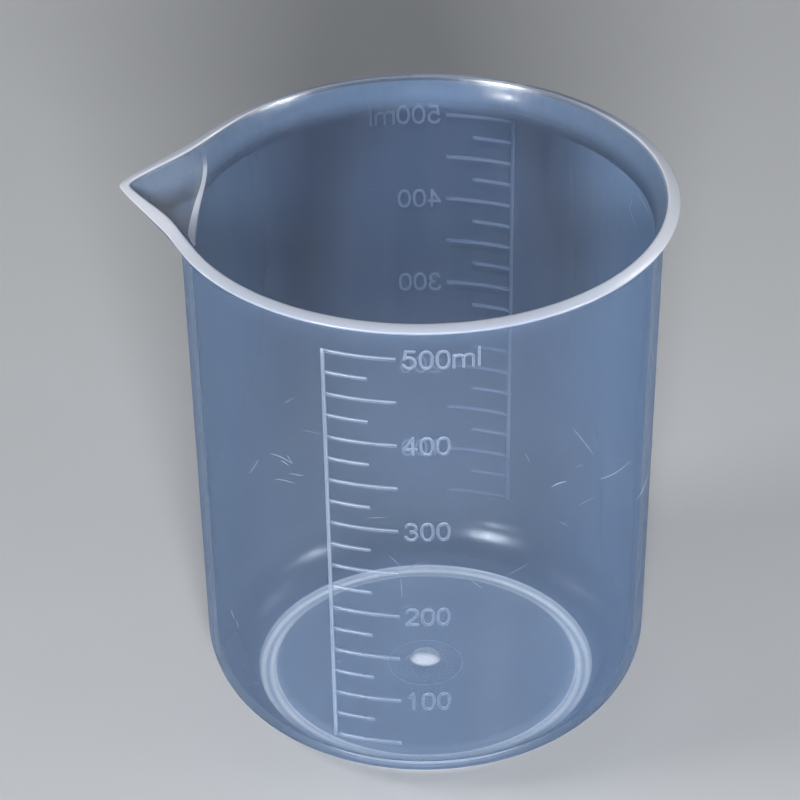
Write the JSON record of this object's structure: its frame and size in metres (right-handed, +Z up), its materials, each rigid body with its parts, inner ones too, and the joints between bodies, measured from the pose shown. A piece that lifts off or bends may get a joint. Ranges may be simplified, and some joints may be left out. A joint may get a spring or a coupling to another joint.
{
  "type": "measuring jug",
  "caption": "Clear plastic measuring jug without a handle: tapered round wall, flared rim with a pouring spout, foot ring and raised millilitre scales front and rear.",
  "frame": {"origin": "on the jug's axis, at the plane it stands on", "axes": "+Z up along the jug's axis, the spout points along -X, the front scale faces -Y and the rear scale +Y"},
  "size_m": [0.102, 0.0934, 0.106],
  "materials": {
    "polypropylene": "clear, slightly milky, satin gloss",
    "raised_marks": "the same plastic, standing proud and catching the light"
  },
  "bodies": {
    "root": {"floor": "polypropylene", "gate_mark": "polypropylene", "heel": "polypropylene", "foot_ring": "polypropylene", "wall": "polypropylene", "rim": "polypropylene", "spout": "polypropylene", "front_scale": "raised_marks", "rear_scale": "raised_marks"}
  },
  "joints": []
}
